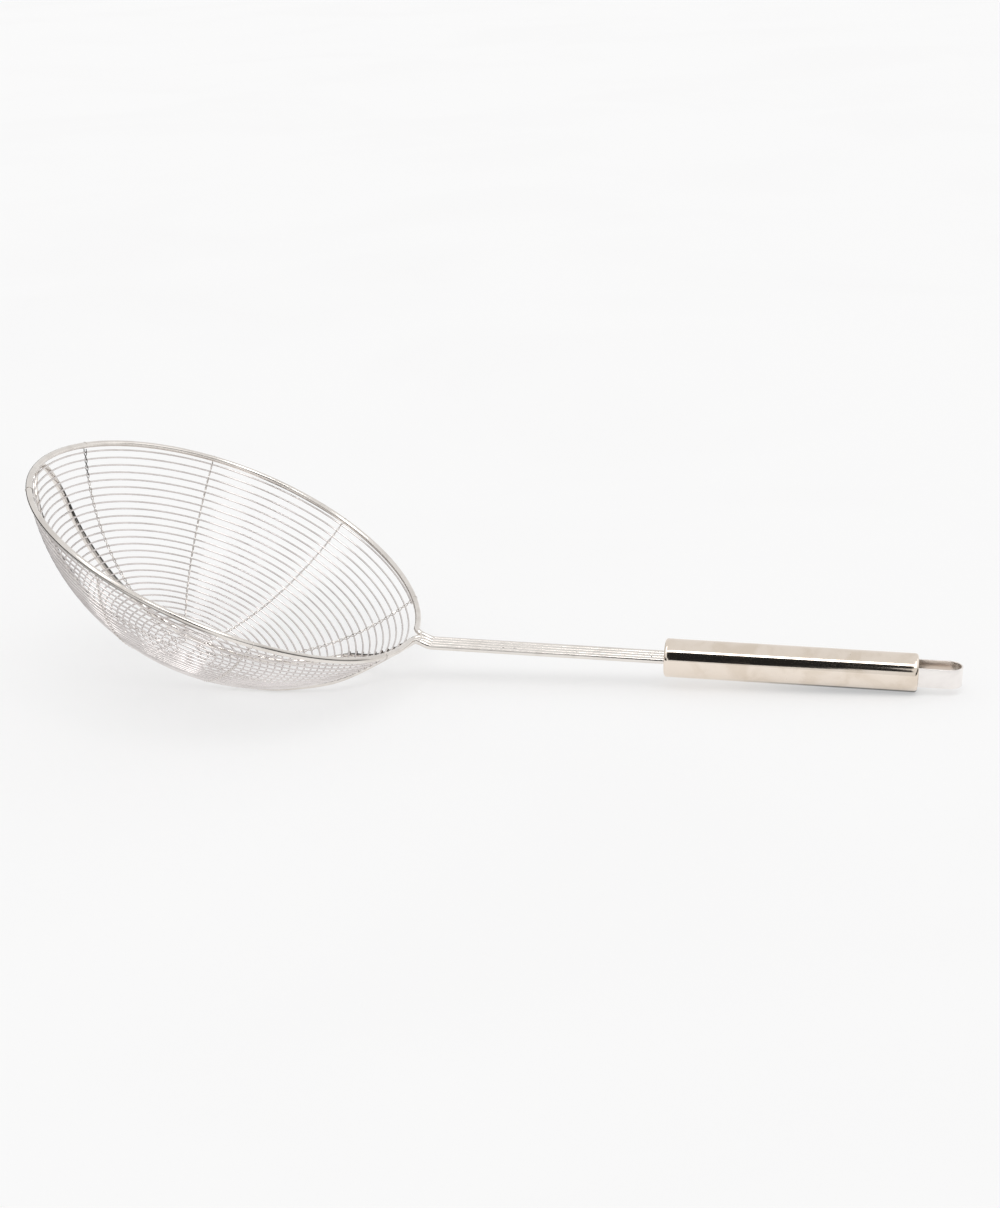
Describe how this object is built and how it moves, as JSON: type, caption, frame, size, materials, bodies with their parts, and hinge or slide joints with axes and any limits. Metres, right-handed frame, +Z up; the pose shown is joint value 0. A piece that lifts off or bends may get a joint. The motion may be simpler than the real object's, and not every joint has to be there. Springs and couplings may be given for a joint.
{
  "type": "wire skimmer",
  "caption": "Round wire skimmer: a spiral wire bowl in a bent rod hoop, on a straight rod stem with a steel tube handle and a hanging loop.",
  "frame": {"origin": "on the table surface, under the middle of the whole skimmer's box as it lies at rest", "axes": "+X along the handle from the bowl to the hanging loop, +Y across the bowl, +Z up from the table"},
  "size_m": [0.4396, 0.1998, 0.1108],
  "materials": {
    "polished_rod": "polished stainless steel rod",
    "spiral_steel": "bright drawn stainless steel wire",
    "rib_steel": "bright drawn stainless steel wire",
    "tube_steel": "polished stainless steel tube with fine handling marks",
    "plug_steel": "plain turned steel",
    "strip_steel": "polished stainless steel strip"
  },
  "bodies": {
    "root": {"hoop_rod": "polished_rod", "support_rod": "polished_rod", "spiral_wire": "spiral_steel", "rib_1_inner_strand": "rib_steel", "rib_1_outer_strand": "rib_steel", "rib_2_inner_strand": "rib_steel", "rib_2_outer_strand": "rib_steel", "rib_3_inner_strand": "rib_steel", "rib_3_outer_strand": "rib_steel", "rib_4_inner_strand": "rib_steel", "rib_4_outer_strand": "rib_steel", "rib_5_inner_strand": "rib_steel", "rib_5_outer_strand": "rib_steel", "rib_6_inner_strand": "rib_steel", "rib_6_outer_strand": "rib_steel", "rib_7_inner_strand": "rib_steel", "rib_7_outer_strand": "rib_steel", "rib_8_inner_strand": "rib_steel", "rib_8_outer_strand": "rib_steel", "handle_tube": "tube_steel", "front_plug": "plug_steel", "rear_plug": "plug_steel", "hanging_loop": "strip_steel"}
  },
  "joints": []
}
